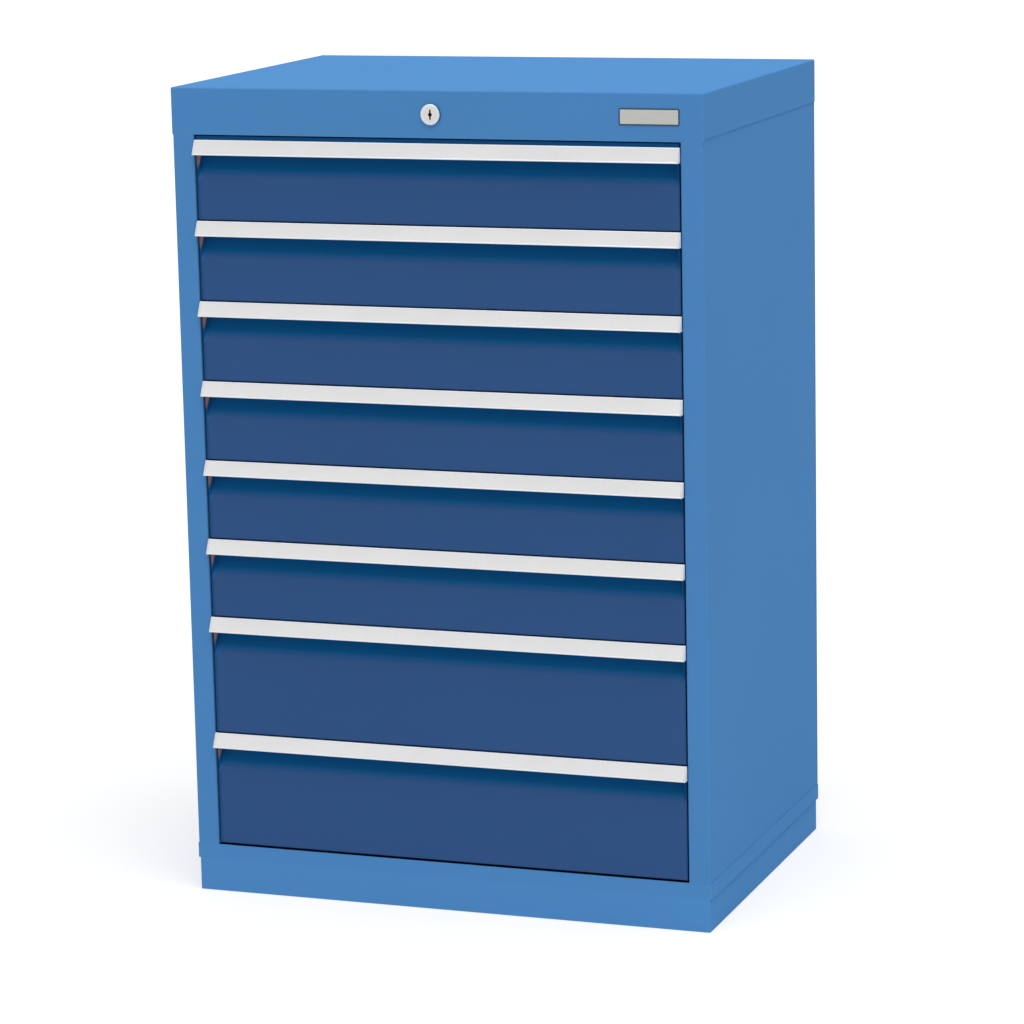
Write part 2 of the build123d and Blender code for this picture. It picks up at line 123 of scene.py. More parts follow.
def add_vector_math(tree, operation, first, second):
    return add_node(tree, "ShaderNodeVectorMath", {0: first, 1: second}, operation=operation).outputs


def add_range(tree, value, start, end, to_start=0.0, to_end=1.0):
    inputs = {"Value": value, "From Min": start, "From Max": end, "To Min": to_start, "To Max": to_end}
    return add_node(tree, "ShaderNodeMapRange", inputs).outputs["Result"]


def blend(tree, mask, off_value, on_value):
    """Returns one value where the mask is 0 and the other where it is 1."""
    return add_range(tree, mask, 0.0, 1.0, off_value, on_value)


def mix_colours(tree, factor, first, second):
    first, second = (
        colour if isinstance(colour, bpy.types.NodeSocket) else (*colour, 1.0) for colour in (first, second)
    )
    inputs = {"Factor": factor, 6: first, 7: second}
    return add_node(tree, "ShaderNodeMix", inputs, data_type="RGBA").outputs[2]


def split(tree, vector):
    """Returns the parts of a vector, each found by its letter."""
    return add_node(tree, "ShaderNodeSeparateXYZ", {0: vector}).outputs


print("helpers", add_math.__name__, add_range.__name__, blend.__name__, mix_colours.__name__, split.__name__)

# %% [markdown]
# ## Floor and light
# The floor is a large pale sheet that runs into the white surroundings. To the camera it glows by half of
# white and shows the light on it by the other half, which leaves the cabinet's soft shadow on it but makes it
# faint. The surroundings are white to the camera and to reflections, and dimmer as a lamp.
# The picture shows the front and the right side almost equally bright from top to bottom, and the top
# brighter by two fifths. A lamp in the room would fade downwards, so the light is a sun lamp, blurred over a
# wide angle to a soft studio light: it stands high, between the front and the side, and the pale floor throws
# much of it back up at both.

# %% Floor
floor_size = 120.0
floor_drop = 0.0004
floor_pale = (0.80, 0.80, 0.80)
floor_seen = (0.5, 0.5, 0.5)
floor_glow = 0.5
floor_roughness = 0.9
white = (1.0, 1.0, 1.0)

bpy.ops.mesh.primitive_plane_add(size=floor_size, location=(0, 0, -floor_drop))
floor = bpy.context.object
floor.name = "floor"

floor_material = bpy.data.materials.new("pale_floor")
floor_material.use_nodes = True
tree = floor_material.node_tree
is_seen = add_node(tree, "ShaderNodeLightPath").outputs["Is Camera Ray"]
set_shader(
    tree,
    tree.nodes["Principled BSDF"],
    Base_Color=mix_colours(tree, is_seen, floor_pale, floor_seen),
    Emission_Color=(*white, 1.0),
    Emission_Strength=add_math(tree, "MULTIPLY", is_seen, floor_glow),
    Roughness=floor_roughness,
    Specular_IOR_Level=0.0,
)
floor.data.materials.append(floor_material)
bpy.ops.object.select_all(action="DESELECT")
print("floor", floor_size, "wide,", floor_drop, "below the cabinet's foot")

# %% White surroundings and one soft, even light
surroundings_strength = 0.38
light_from = Vector((0.155, -0.25, 0.955))
light_strength = 2.73
light_angle = radians(60)
lamp_distance = 4

world = bpy.data.worlds.new("white_studio")
bpy.context.scene.world = world
world.use_nodes = True
tree = world.node_tree
ray = add_node(tree, "ShaderNodeLightPath")
white_rays = ("Is Camera Ray", "Is Glossy Ray", "Is Transmission Ray")
is_white = add_math(tree, "MAXIMUM", *(ray.outputs[kind] for kind in white_rays))
set_shader(
    tree,
    tree.nodes["Background"],
    Color=(*white, 1.0),
    Strength=blend(tree, is_white, surroundings_strength, 1.0),
)

bpy.ops.object.light_add(type="SUN", location=lamp_distance * light_from)
lamp = bpy.context.object
lamp.name = "soft_light"
lamp.rotation_mode = "QUATERNION"
lamp.rotation_quaternion = light_from.to_track_quat("Z", "Y")
lamp.data.energy = light_strength
lamp.data.angle = light_angle
bpy.ops.object.select_all(action="DESELECT")
print("light", light_strength, "from", [round(value, 3) for value in light_from.normalized()])

# %% [markdown]
# ## What the finishes have in common: node groups
# Powder coat covers the carcass, the fronts and the trays. It is baked from a sprayed powder, which leaves a
# skin like fine orange peel and a tone that drifts very slightly. A picture of such a skin would need a file
# and a UV map. Noise that reads the object's own coordinates needs neither and has the same scale on every
# piece, so it is built once as a node group. The group puts out masks and a height only, and each paint turns
# them into its own colours.

# %% Helpers for node groups
noise_low = 0.3
noise_high = 0.7


def new_group(name, inputs, outputs):
    """Returns a group's tree with its input and output nodes; an input without a value is a vector."""
    tree = bpy.data.node_groups.new(name, "ShaderNodeTree")
    for socket, value in inputs.items():
        kind = "NodeSocketVector" if value is None else "NodeSocketFloat"
        made = tree.interface.new_socket(name=socket, in_out="INPUT", socket_type=kind)
        if value is not None:
            made.default_value = value
    for socket in outputs:
        tree.interface.new_socket(name=socket, in_out="OUTPUT", socket_type="NodeSocketFloat")
    return tree, add_node(tree, "NodeGroupInput"), add_node(tree, "NodeGroupOutput")


def add_noise(tree, vector, scale, detail=2.0, roughness=0.5):
    inputs = {"Vector": vector, "Scale": scale, "Detail": detail, "Roughness": roughness}
    return add_node(tree, "ShaderNodeTexNoise", inputs).outputs["Fac"]


def widen(tree, noise, low=0.0, high=1.0):
    """Noise keeps mostly to its middle values: this spreads them over a whole range."""
    return add_range(tree, noise, noise_low, noise_high, low, high)


print("noise from", noise_low, "to", noise_high, "is spread over a whole range")

# %% Powder coat group
peel_scale = 700.0
drift_scale = 2.6
grit_fineness = 2.7
grit_height = 0.35

powder_coat, taken, given = new_group(
    "Powder coat",
    {"Vector": None, "Peel Scale": peel_scale, "Drift Scale": drift_scale},
    ["Drift", "Speckle", "Height"],
)
vector = taken.outputs["Vector"]
peel = add_noise(powder_coat, vector, taken.outputs["Peel Scale"], detail=1.0)
grit_scale = add_math(powder_coat, "MULTIPLY", taken.outputs["Peel Scale"], grit_fineness)
grit = add_noise(powder_coat, vector, grit_scale)
drift = add_noise(powder_coat, vector, taken.outputs["Drift Scale"], detail=3.0, roughness=0.55)
lumps = add_math(powder_coat, "ADD", add_math(powder_coat, "MULTIPLY", grit, grit_height), peel)
fill(powder_coat, given.inputs["Drift"], widen(powder_coat, drift))
fill(powder_coat, given.inputs["Speckle"], widen(powder_coat, grit))
fill(powder_coat, given.inputs["Height"], lumps)
print("powder coat group has", len(powder_coat.nodes), "nodes")

# %% [markdown]
# Drawn, rolled and ground metal all show fine streaks in one direction. The same noise does it when its
# coordinates are squeezed along that direction: a product with a vector scales them by a small number along
# the grain and by large ones across it. Grips are streaked along X and runners along Y, so the group takes
# the scale of each direction as a vector.

# %% Metal grain group
cloud_scale = 60.0

metal_grain, taken, given = new_group(
    "Metal grain",
    {"Vector": None, "Stretch": None},
    ["Streak", "Cloud", "Height"],
)
vector = taken.outputs["Vector"]
squeezed = add_vector_math(metal_grain, "MULTIPLY", vector, taken.outputs["Stretch"])["Vector"]
streak = add_noise(metal_grain, squeezed, 1.0, detail=3.0, roughness=0.6)
cloud = add_noise(metal_grain, vector, cloud_scale)
fill(metal_grain, given.inputs["Streak"], widen(metal_grain, streak))
fill(metal_grain, given.inputs["Cloud"], widen(metal_grain, cloud))
fill(metal_grain, given.inputs["Height"], streak)
print("metal grain group has", len(metal_grain.nodes), "nodes")

# %% [markdown]
# ## Paint
# The carcass is light blue and the drawers are dark blue, both a fine and nearly matt powder coat. Such a
# coat is an even colour that hardly mirrors anything, so its Specular level is low and its roughness high,
# and the group's drift and speckle move colour and roughness by a few percent only. The dark blue of the
# trays holds a painted reflection, the same grey sheen as the fronts' faces. The floor pan and the plinth
# are painted a shade lighter, as painted light against the shade that falls on them near the floor. The
# Bump node turns the height into tiny slopes.

# %% Helpers for materials
sideways_limit = 0.9


def new_material(name):
    """Returns a material with its tree, its shader and its object coordinates."""
    material = bpy.data.materials.new(name)
    material.use_nodes = True
    tree = material.node_tree
    coordinates = add_node(tree, "ShaderNodeTexCoord").outputs["Object"]
    return material, tree, tree.nodes["Principled BSDF"], coordinates


def fill_group(tree, group, inputs):
    return add_node(tree, "ShaderNodeGroup", inputs, node_tree=group).outputs


def add_bump(tree, shader, height, distance):
    bump = add_node(tree, "ShaderNodeBump", {"Height": height, "Distance": distance})
    set_shader(tree, shader, Normal=bump.outputs["Normal"])


def split_normal(tree):
    """Returns the parts of the direction in which a face looks."""
    return split(tree, add_node(tree, "ShaderNodeNewGeometry").outputs["Normal"])


def looks_sideways(tree):
    """Returns a mask of the faces that look along X, either way."""
    outwards = add_math(tree, "ABSOLUTE", split_normal(tree)["X"])
    return add_math(tree, "GREATER_THAN", outwards, sideways_limit)


print("helpers", new_material.__name__, fill_group.__name__, add_bump.__name__, looks_sideways.__name__)

# %% Powder-coated paints
speckle_share = 0.35
drift_share = 0.65
roughness_swing = 0.05
coat_specular = 0.02
coat_relief = 0.00006
carcass_roughness = 0.70
drawer_roughness = 0.62
carcass_tones = (0.072, 0.237, 0.518), (0.077, 0.248, 0.540)
# The floor pan's and the plinth's tones are lightened: painted light against the shade near the floor.
rim_lightened_tones = (0.076, 0.249, 0.540), (0.081, 0.260, 0.562)
plinth_lightened_tones = (0.080, 0.262, 0.566), (0.085, 0.273, 0.590)
# The tray navy holds the same painted reflection, a grey sheen, as the fronts' faces.
tray_paint_and_sheen_tones = (0.0305, 0.085, 0.222), (0.0335, 0.090, 0.234)


def powder_paint(name, dark, light, roughness):
    """Returns what new_material returns and the paint's colour, which masks can still change."""
    material, tree, shader, coordinates = new_material(name)
    coat = fill_group(tree, powder_coat, {"Vector": coordinates})
    speckled = add_math(tree, "MULTIPLY", coat["Speckle"], speckle_share)
    drifting = add_math(tree, "MULTIPLY", coat["Drift"], drift_share)
    colour = mix_colours(tree, add_math(tree, "ADD", speckled, drifting), dark, light)
    low, high = roughness - roughness_swing, roughness + roughness_swing
    rough = blend(tree, coat["Speckle"], low, high)
    set_shader(tree, shader, Base_Color=colour, Roughness=rough, Specular_IOR_Level=coat_specular)
    add_bump(tree, shader, coat["Height"], coat_relief)
    return material, tree, shader, coordinates, colour


light_blue = powder_paint("light_blue_coat", *carcass_tones, carcass_roughness)[0]
rim_blue_against_shade = powder_paint("rim_coat_against_shade", *rim_lightened_tones, carcass_roughness)[0]
plinth_blue_against_shade = powder_paint("plinth_coat_against_shade", *plinth_lightened_tones, carcass_roughness)[0]
dark_blue = powder_paint("dark_blue_coat", *tray_paint_and_sheen_tones, drawer_roughness)[0]
print("paints", light_blue.name, rim_blue_against_shade.name, plinth_blue_against_shade.name, dark_blue.name)

# %% [markdown]
# ## The drawer fronts
# The flat face of each front is a greyed navy, a painted reflection of the bright room. The folds round its
# edges, the band above the first grip and the finger pockets are painted a deeper and greener navy, a painted
# shade where nothing bright is mirrored; in the pockets, which lie in real shade, this navy is made brighter.
# Masks paint the difference: one by depth behind the face, which fades in along the pocket's soft sill, one
# for the cheeks beside the pocket, and one of painted shade that rounds the flat panel's corner beside its
# left end. The drawers differ in height, so a group first finds how far a point is below the top of its own
# grip, by a remainder.

# %% How far below its grip's top a point is
drawer_gap = 0.0012
low_pitch = 0.1031
high_pitch = 0.15465
first_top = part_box("drawer_1_grip")[1].z
first_high_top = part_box("drawer_7_grip")[1].z

drawer_level, taken, given = new_group("Drawer level", {"Vector": None}, ["Below Top"])
height = split(drawer_level, taken.outputs["Vector"])["Z"]
from_low = add_math(drawer_level, "SUBTRACT", first_top + drawer_gap / 2, height)
from_high = add_math(drawer_level, "SUBTRACT", first_high_top + drawer_gap / 2, height)
is_low = add_math(drawer_level, "GREATER_THAN", height, first_high_top + drawer_gap / 2)
chosen = add_node(drawer_level, "ShaderNodeMix", {
    0: is_low,
    2: add_math(drawer_level, "MODULO", from_high, high_pitch),
    3: add_math(drawer_level, "MODULO", from_low, low_pitch),
}, data_type="FLOAT")
below = add_math(drawer_level, "SUBTRACT", chosen.outputs[0], drawer_gap / 2)
fill(drawer_level, given.inputs["Below Top"], below)
print("low drawers from", round(first_top, 4), "down, high ones from", round(first_high_top, 4))

# %% Front paint
face_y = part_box("drawer_1_front")[0].y
front_edge_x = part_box("drawer_1_front")[0].x
# The face's navy holds a painted reflection, a grey sheen of the bright room.
face_paint_and_sheen_tones = (0.0328, 0.089, 0.233), (0.0360, 0.0945, 0.246)

front_paint, tree, shader, coordinates, face_navy_and_sheen = powder_paint(
    "front_coat", *face_paint_and_sheen_tones, drawer_roughness
)
place = split(tree, coordinates)
level = fill_group(tree, drawer_level, {"Vector": coordinates})["Below Top"]
outward = add_math(tree, "ABSOLUTE", place["X"])
print("face at y", round(face_y, 4), "left edge at x", round(front_edge_x, 4))

# %% Painted shade: folds, top band, cheeks and the panel's corner
cheek_x = 0.3180
fold_start = 0.0006
fold_end = 0.0056
panel_top = 0.0430
panel_side = 0.0030
# The panel's rounded corner is painted shade, not a shape of the panel.
shade_corner_radius = 0.0110
panel_blur = 0.0035

is_fold = add_range(tree, place["Y"], face_y + fold_start, face_y + fold_end)
is_band = add_math(tree, "GREATER_THAN", place["Z"], first_top)
is_beside = add_math(tree, "GREATER_THAN", outward, cheek_x)
is_above = add_range(tree, level, panel_top + panel_blur, panel_top - panel_blur)
is_cheek = add_math(tree, "MULTIPLY", is_beside, is_above)

corner_x = front_edge_x + panel_side + shade_corner_radius
across = add_math(tree, "MAXIMUM", add_math(tree, "SUBTRACT", corner_x, place["X"]), 0.0)
upward = add_math(tree, "MAXIMUM", add_math(tree, "SUBTRACT", panel_top + shade_corner_radius, level), 0.0)
squares = [add_math(tree, "MULTIPLY", side, side) for side in (across, upward)]
reach = add_math(tree, "SQRT", add_math(tree, "ADD", *squares))
is_past = add_range(tree, reach, shade_corner_radius - panel_blur, shade_corner_radius + panel_blur)
corner_shade = add_math(tree, "MULTIPLY", is_past, add_range(tree, across, 0.0, shade_corner_radius))
in_painted_shade = add_math(tree, "MAXIMUM", is_fold, is_band, is_cheek, corner_shade)
print("panel from", panel_top, "below the grip's top, its corner of radius", shade_corner_radius)

# %% Painted shade: deeper navy of the folds and the pockets
cheek_slack = 0.0001
pocket_foot = 0.0520
fold_shade_navy = (0.006, 0.062, 0.185)
pocket_shade_navy = (0.0068, 0.129, 0.350)

is_between = add_math(tree, "LESS_THAN", outward, cheek_x + cheek_slack)
is_over_foot = add_math(tree, "LESS_THAN", level, pocket_foot)
is_under_top = add_math(tree, "GREATER_THAN", level, 0.0)
in_pocket = add_math(tree, "MULTIPLY", is_between, is_over_foot, is_under_top)
painted_shade_navy = mix_colours(tree, in_pocket, fold_shade_navy, pocket_shade_navy)
front_light_and_shade = mix_colours(tree, in_painted_shade, face_navy_and_sheen, painted_shade_navy)
print("folds", fold_shade_navy, "pocket", pocket_shade_navy)

# %% [markdown]
# The side walls of the pocket are painted with reflected light: a warm brown at the top that turns grey
# further down, which runs out in a point at the face. A wall is told from its surroundings by its place and
# by the direction in which it looks. The edge of the left cheek beside it is painted a dull tone of the same
# brown.

# %% Side walls of the pocket
grip_height = 0.0187
brown_depth = 0.0105
brown_foot = 0.0370
brown_side_blur = 0.0015
brown_foot_blur = 0.008
wall_slack = 0.00012
# Painted reflected light on the pocket's side walls and on the left cheek's edge.
wall_top_bounce_brown = (0.70, 0.29, 0.18)
wall_foot_bounce_grey = (0.34, 0.28, 0.42)
edge_bounce_brown = (0.22, 0.135, 0.135)

off_wall = add_math(tree, "ABSOLUTE", add_math(tree, "SUBTRACT", outward, cheek_x))
is_wall = add_math(tree, "LESS_THAN", off_wall, wall_slack)
is_wall = add_math(tree, "MULTIPLY", is_wall, looks_sideways(tree))
is_edge = add_math(tree, "LESS_THAN", place["X"], -cheek_x)
taper = add_range(tree, level, grip_height, brown_foot, face_y + brown_depth, face_y)
is_near = add_range(tree, add_math(tree, "SUBTRACT", place["Y"], taper), brown_side_blur, 0.0)
is_high = add_range(tree, level, brown_foot, brown_foot - brown_foot_blur)
is_side = add_math(tree, "MAXIMUM", is_wall, is_edge)
in_painted_bounce = add_math(tree, "MULTIPLY", is_side, is_near, is_high, is_under_top)
down = add_range(tree, level, grip_height, brown_foot)
wall_tone = mix_colours(tree, down, wall_top_bounce_brown, wall_foot_bounce_grey)
brown = mix_colours(tree, is_wall, edge_bounce_brown, wall_tone)
set_shader(tree, shader, Base_Color=mix_colours(tree, in_painted_bounce, front_light_and_shade, brown))
print("brown from", grip_height, "to", brown_foot, "below the grip's top")

# %% [markdown]
# ## Grips and end caps
# The grip strip of each drawer is an aluminium extrusion, anodised to a pale satin: metallic, with fine
# streaks along its length from the die. Its end caps are moulded in white plastic, with a faint mottle. The
# faces of a cap that look along X are painted a paler white, as painted light, and a mask finds them by
# their direction.

# %% Anodised aluminium
grip_stretch = (6.0, 1600.0, 1600.0)
grip_tones = (0.74, 0.745, 0.75), (0.80, 0.80, 0.805)
grip_relief = 0.000012

anodised_grip, tree, shader, coordinates = new_material("anodised_grip")
grain = fill_group(tree, metal_grain, {"Vector": coordinates, "Stretch": grip_stretch})
tone = mix_colours(tree, grain["Streak"], *grip_tones)
rough = blend(tree, grain["Streak"], 0.34, 0.44)
set_shader(tree, shader, Base_Color=tone, Roughness=rough, Metallic=1.0)
add_bump(tree, shader, grain["Height"], grip_relief)
print("grips", anodised_grip.name)

# %% Moulded end caps
mottle_scale = 300.0
cap_tones = (0.66, 0.66, 0.67), (0.70, 0.70, 0.71)
# Painted light: the caps' faces that look along X are paler.
cap_side_painted_light = (0.86, 0.90, 0.94)
cap_relief = 0.00003

moulded_cap, tree, shader, coordinates = new_material("moulded_cap")
mottle = add_noise(tree, coordinates, mottle_scale)
cap_white = mix_colours(tree, widen(tree, mottle), *cap_tones)
cap_white = mix_colours(tree, looks_sideways(tree), cap_white, cap_side_painted_light)
rough = widen(tree, mottle, 0.42, 0.5)
set_shader(tree, shader, Base_Color=cap_white, Roughness=rough, Specular_IOR_Level=0.3)
add_bump(tree, shader, mottle, cap_relief)
print("caps", moulded_cap.name)

# %% [markdown]
# ## Runners and locking works
# Runners and locking bars are rolled from zinc-plated strip: a cool grey metal, streaked along its length,
# with the faint bloom of the plating. The grain group gives both, the streaks to the roughness and the
# cloud to the colour.

# %% Zinc-plated steel
zinc_stretch = (900.0, 12.0, 900.0)
zinc_tones = (0.50, 0.51, 0.53), (0.60, 0.61, 0.62)
zinc_relief = 0.00002

zinc_steel, tree, shader, coordinates = new_material("zinc_plated_steel")
grain = fill_group(tree, metal_grain, {"Vector": coordinates, "Stretch": zinc_stretch})
tone = mix_colours(tree, grain["Cloud"], *zinc_tones)
rough = blend(tree, grain["Streak"], 0.30, 0.46)
set_shader(tree, shader, Base_Color=tone, Roughness=rough, Metallic=1.0)
add_bump(tree, shader, grain["Height"], zinc_relief)
print("runners and bars", zinc_steel.name)

# %% [markdown]
# ## The lock
# The lock is satin chrome, paler and smoother than the runners and a little warm on its face. The rim of the
# housing is blasted, so it is duller, and its cool tone is a painted reflection of the room: a mask by the
# distance from the lock's axis finds it. The side wall and the part of the chamfer that looks to the right
# are painted dark, a painted reflection of the far side of the room. The keyhole is a real recess, and its
# shade is painted too, since bright metal would throw light out of it: the plug's material turns dark and
# dull a little behind the face, less so in the ends of the slot.

# %% Satin chrome
chrome_stretch = (2200.0, 40.0, 2200.0)
chrome_tones = (0.67, 0.66, 0.635), (0.74, 0.73, 0.705)
chrome_relief = 0.000008


def satin_chrome(name):
    """Returns what new_material returns and the chrome's colour, which masks still change."""
    material, tree, shader, coordinates = new_material(name)
    grain = fill_group(tree, metal_grain, {"Vector": coordinates, "Stretch": chrome_stretch})
    set_shader(tree, shader, Roughness=blend(tree, grain["Streak"], 0.20, 0.32))
    add_bump(tree, shader, grain["Height"], chrome_relief)
    return material, tree, shader, coordinates, mix_colours(tree, grain["Streak"], *chrome_tones)


print("helper", satin_chrome.__name__)

# %% Rim of the lock's housing
lock_face_radius = 0.0130
rim_width = 0.0030
rim_blur = 0.0008
# Painted reflection of the room on the rim.
rim_painted_reflection = (0.70, 0.80, 0.87)

chrome, tree, shader, coordinates, colour = satin_chrome("satin_chrome")
lock_low, lock_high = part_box("lock_housing")
lock_axis = ((lock_low.x + lock_high.x) / 2, 0.0, (lock_low.z + lock_high.z) / 2)
flattened = add_vector_math(tree, "MULTIPLY", coordinates, (1.0, 0.0, 1.0))["Vector"]
radius = add_vector_math(tree, "DISTANCE", flattened, lock_axis)["Value"]
rim_start = lock_face_radius - rim_width
on_rim = add_range(tree, radius, rim_start, rim_start + rim_blur)
colour = mix_colours(tree, on_rim, colour, rim_painted_reflection)
print("rim from radius", round(rim_start, 4), "to", lock_face_radius)

# %% Side wall and chamfer of the housing
chamfer_start = 0.0003
chamfer_end = 0.0006
turned_start = 0.25
turned_end = 0.55
side_start = 0.0009
side_end = 0.0013
# Painted dark reflection on the side wall and the right of the chamfer.
side_dark_reflection = (0.03, 0.06, 0.11)

depth = split(tree, coordinates)["Y"]
in_dark_reflection = add_range(tree, depth, lock_low.y + side_start, lock_low.y + side_end)
on_chamfer = add_range(tree, depth, lock_low.y + chamfer_start, lock_low.y + chamfer_end)
to_the_right = add_range(tree, split_normal(tree)["X"], turned_start, turned_end)
in_dark_reflection = add_math(tree, "MAXIMUM", in_dark_reflection, add_math(tree, "MULTIPLY", on_chamfer, to_the_right))
is_dull = add_math(tree, "MAXIMUM", in_dark_reflection, on_rim)
set_shader(
    tree,
    shader,
    Base_Color=mix_colours(tree, in_dark_reflection, colour, side_dark_reflection),
    Roughness=blend(tree, on_rim, 0.26, 0.55),
    Metallic=blend(tree, is_dull, 1.0, 0.2),
)
print("lock face at y", round(lock_low.y, 4), "side wall from", side_end, "behind it")

# %% Plug with its keyhole
hole_start = 0.0003
hole_end = 0.0012
slot_start = 0.0026
slot_blur = 0.0008
# Painted shade inside the keyhole, paler in the ends of the slot.
hole_painted_shade = (0.004, 0.004, 0.005)
slot_painted_shade = (0.20, 0.185, 0.17)

plug_chrome, tree, shader, coordinates, colour = satin_chrome("keyhole_chrome")
plug_low, plug_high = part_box("lock_cylinder")
place = split(tree, coordinates)
in_keyhole = add_range(tree, place["Y"], plug_low.y + hole_start, plug_low.y + hole_end)
above_axis = add_math(tree, "SUBTRACT", place["Z"], (plug_low.z + plug_high.z) / 2)
off_axis = add_math(tree, "ABSOLUTE", above_axis)
in_slot = add_range(tree, off_axis, slot_start, slot_start + slot_blur)
keyhole_shade_colour = mix_colours(tree, in_slot, hole_painted_shade, slot_painted_shade)
plug_colour = mix_colours(tree, in_keyhole, colour, keyhole_shade_colour)
set_shader(tree, shader, Base_Color=plug_colour, Metallic=blend(tree, in_keyhole, 1.0, 0.0))
print("plug face at y", round(plug_low.y, 4))

# %% [markdown]
# ## Every solid gets its finish
# The solids already have one material slot each. The finish goes into that slot, and the shapes stay as they
# are. The floor pan, the plinth, the plug and the fronts then get the finishes that were made for them.

# %% Finish the solids
finishes = {
    "carcass_blue": light_blue,
    "drawer_blue": dark_blue,
    "grip_aluminium": anodised_grip,
    "grip_cap": moulded_cap,
    "runner_steel": zinc_steel,
    "lock_chrome": chrome,
}
for row in frame["record"]["subparts"]:
    for material_slot in nodes[row["node"]].material_slots:
        material_slot.material = finishes[row["material_slot"]]
# The floor pan and the plinth take the paints lightened against the shade near the floor.
nodes["base_tray"].material_slots[0].material = rim_blue_against_shade
nodes["plinth"].material_slots[0].material = plinth_blue_against_shade
nodes["lock_cylinder"].material_slots[0].material = plug_chrome
for name in drawer_names:
    nodes[f"{name}_front"].material_slots[0].material = front_paint

# %% [markdown]
# ## Working in edit mode from a script
# By hand, one clicks the edges or faces to shape. A script picks them by where they are and which way they
# run. One helper below selects, on the object in edit mode, the faces or edges that pass a test, and the
# operators that follow act on these alone.

# %% Helpers for modelling
parallel_limit = 0.99
front_limit = -0.9


def pick(kind, wanted):
    """Selects the faces or edges of the object in edit mode for which the test holds."""
    piece = bpy.context.object
    bpy.ops.mesh.select_mode(type=kind)
    bpy.ops.mesh.select_all(action="DESELECT")
    mesh = bmesh.from_edit_mesh(piece.data)
    for part in mesh.faces if kind == "FACE" else mesh.edges:
        if wanted(part):
            part.select_set(True)
    mesh.select_flush_mode()
    bmesh.update_edit_mesh(piece.data)


def runs_along(edge, axis):
    direction = (edge.verts[1].co - edge.verts[0].co).normalized()
    return abs(direction.dot(axis)) > parallel_limit


def looks_front(face):
    return face.normal.y < front_limit


def middle_of(edge):
    return (edge.verts[0].co + edge.verts[1].co) / 2


def apply_place():
    bpy.ops.object.transform_apply(location=True, rotation=True, scale=True)


def settle(name, body, *materials):
    """Applies the object's place, names it, gives it its materials and lets it ride on a body."""
    piece = bpy.context.object
    apply_place()
    piece.name = name
    piece.data.name = name
    for material in materials:
        piece.data.materials.append(material)
    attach(piece, body)
    bpy.ops.object.select_all(action="DESELECT")


print("helpers", pick.__name__, runs_along.__name__, looks_front.__name__, settle.__name__)

# %% [markdown]
# ## A bare name plate
# On the right of the top rail sits a small metal plate with rounded corners and a thin dark edge. It stays
# bare here. It could be a picture on a rectangle, but a real plate has a thickness and a pressed field: a
# flat box gets its corners rounded by a bevel, and its front face is inset and pushed in, with the edge in a
# darker finish.

# %% Shape of the plate
plate_width = 0.0772
plate_height = 0.0206
plate_thickness = 0.0008
plate_x = 0.2834
plate_z = 1.0237
plate_edge = 0.0016
plate_sink = 0.0002
plate_corner = 0.0022
rail_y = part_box("top_cover")[0].y

bpy.ops.mesh.primitive_cube_add(
    size=1,
    location=(plate_x, rail_y - plate_thickness / 2, plate_z),
    scale=(plate_width, plate_thickness, plate_height),
)
apply_place()
bpy.ops.object.mode_set(mode="EDIT")
pick("EDGE", lambda edge: runs_along(edge, Vector((0, 1, 0))))
bpy.ops.mesh.bevel(offset=plate_corner, segments=5, affect="EDGES")
pick("FACE", looks_front)
bpy.ops.mesh.inset(thickness=plate_edge, depth=-plate_sink)
bpy.ops.object.mode_set(mode="OBJECT")
plate = bpy.context.object
print("plate", [round(value, 4) for value in plate.dimensions])

# %% Finishes of the plate
plate_stretch = (30.0, 1500.0, 1500.0)
field_tones = (0.50, 0.50, 0.475), (0.57, 0.565, 0.545)
field_relief = 0.00001
speckle_scale = 900.0
edge_tones = (0.012, 0.040, 0.085), (0.020, 0.055, 0.105)

plate_field, tree, shader, coordinates = new_material("plate_field")
grain = fill_group(tree, metal_grain, {"Vector": coordinates, "Stretch": plate_stretch})
tone = mix_colours(tree, grain["Streak"], *field_tones)
set_shader(tree, shader, Base_Color=tone, Roughness=blend(tree, grain["Cloud"], 0.38, 0.48))
add_bump(tree, shader, grain["Height"], field_relief)

plate_rim, tree, shader, coordinates = new_material("plate_edge")
tone = mix_colours(tree, add_noise(tree, coordinates, speckle_scale), *edge_tones)
set_shader(tree, shader, Base_Color=tone, Roughness=0.5)

settle("name_plate", "cabinet", plate_rim, plate_field)
for face in plate.data.polygons:
    if looks_front(face) and face.area > plate_width * plate_height / 2:
        face.material_index = 1
print("plate finishes", [material.name for material in plate.data.materials])

# %% [markdown]
# ## Label strips
# The slanted face of each grip is a shallow channel that holds a card strip under a clear cover. One strip is
# a thin flat box, leaned back to the grip's slope and laid in the channel, with its corners and its front
# edges eased. The slope follows from the grip's own section. The cover's gloss is a coat on the card's
# material, which is simpler than a second, clear piece and shows the same. The first card gets the most
# light, so it is painted a little darker, a painted shade that evens it with the others.

# %% Card under a clear cover
fibre_scale = 240.0
card_cloud_scale = 14.0
card_tones = (0.700, 0.700, 0.700), (0.750, 0.750, 0.755)
# Painted shade: the first card is darker to offset the extra light on it.
first_card_shade_tones = (0.655, 0.655, 0.655), (0.705, 0.705, 0.71)
card_relief = 0.00001

